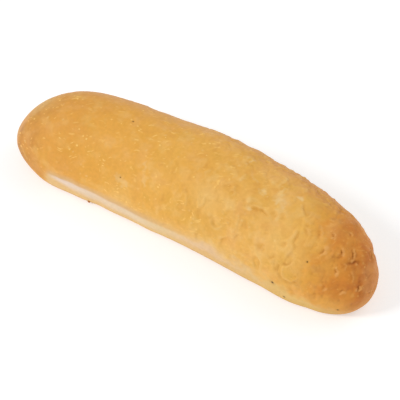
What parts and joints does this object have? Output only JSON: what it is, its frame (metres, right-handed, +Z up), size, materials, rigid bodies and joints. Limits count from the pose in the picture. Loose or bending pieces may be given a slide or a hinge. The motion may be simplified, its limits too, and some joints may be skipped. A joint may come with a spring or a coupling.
{
  "type": "french bread roll",
  "caption": "Long soft bread roll with a domed browned crust, a gentle sideways bow, rounded ends, a pale waist and a flat base to rest on.",
  "frame": {"origin": "middle of the flat base's plane, under the centre of the loaf's box", "axes": "+X along the loaf towards its fuller, browner end, +Y across it towards the side that bulges with the bow, +Z up through the crust"},
  "size_m": [0.2052, 0.0604, 0.0432],
  "materials": {
    "baked_crust": "soft baked bread crust, golden brown, matt with a faint sheen, paler low on the sides"
  },
  "bodies": {
    "root": {"bread_roll": "baked_crust"}
  },
  "joints": []
}
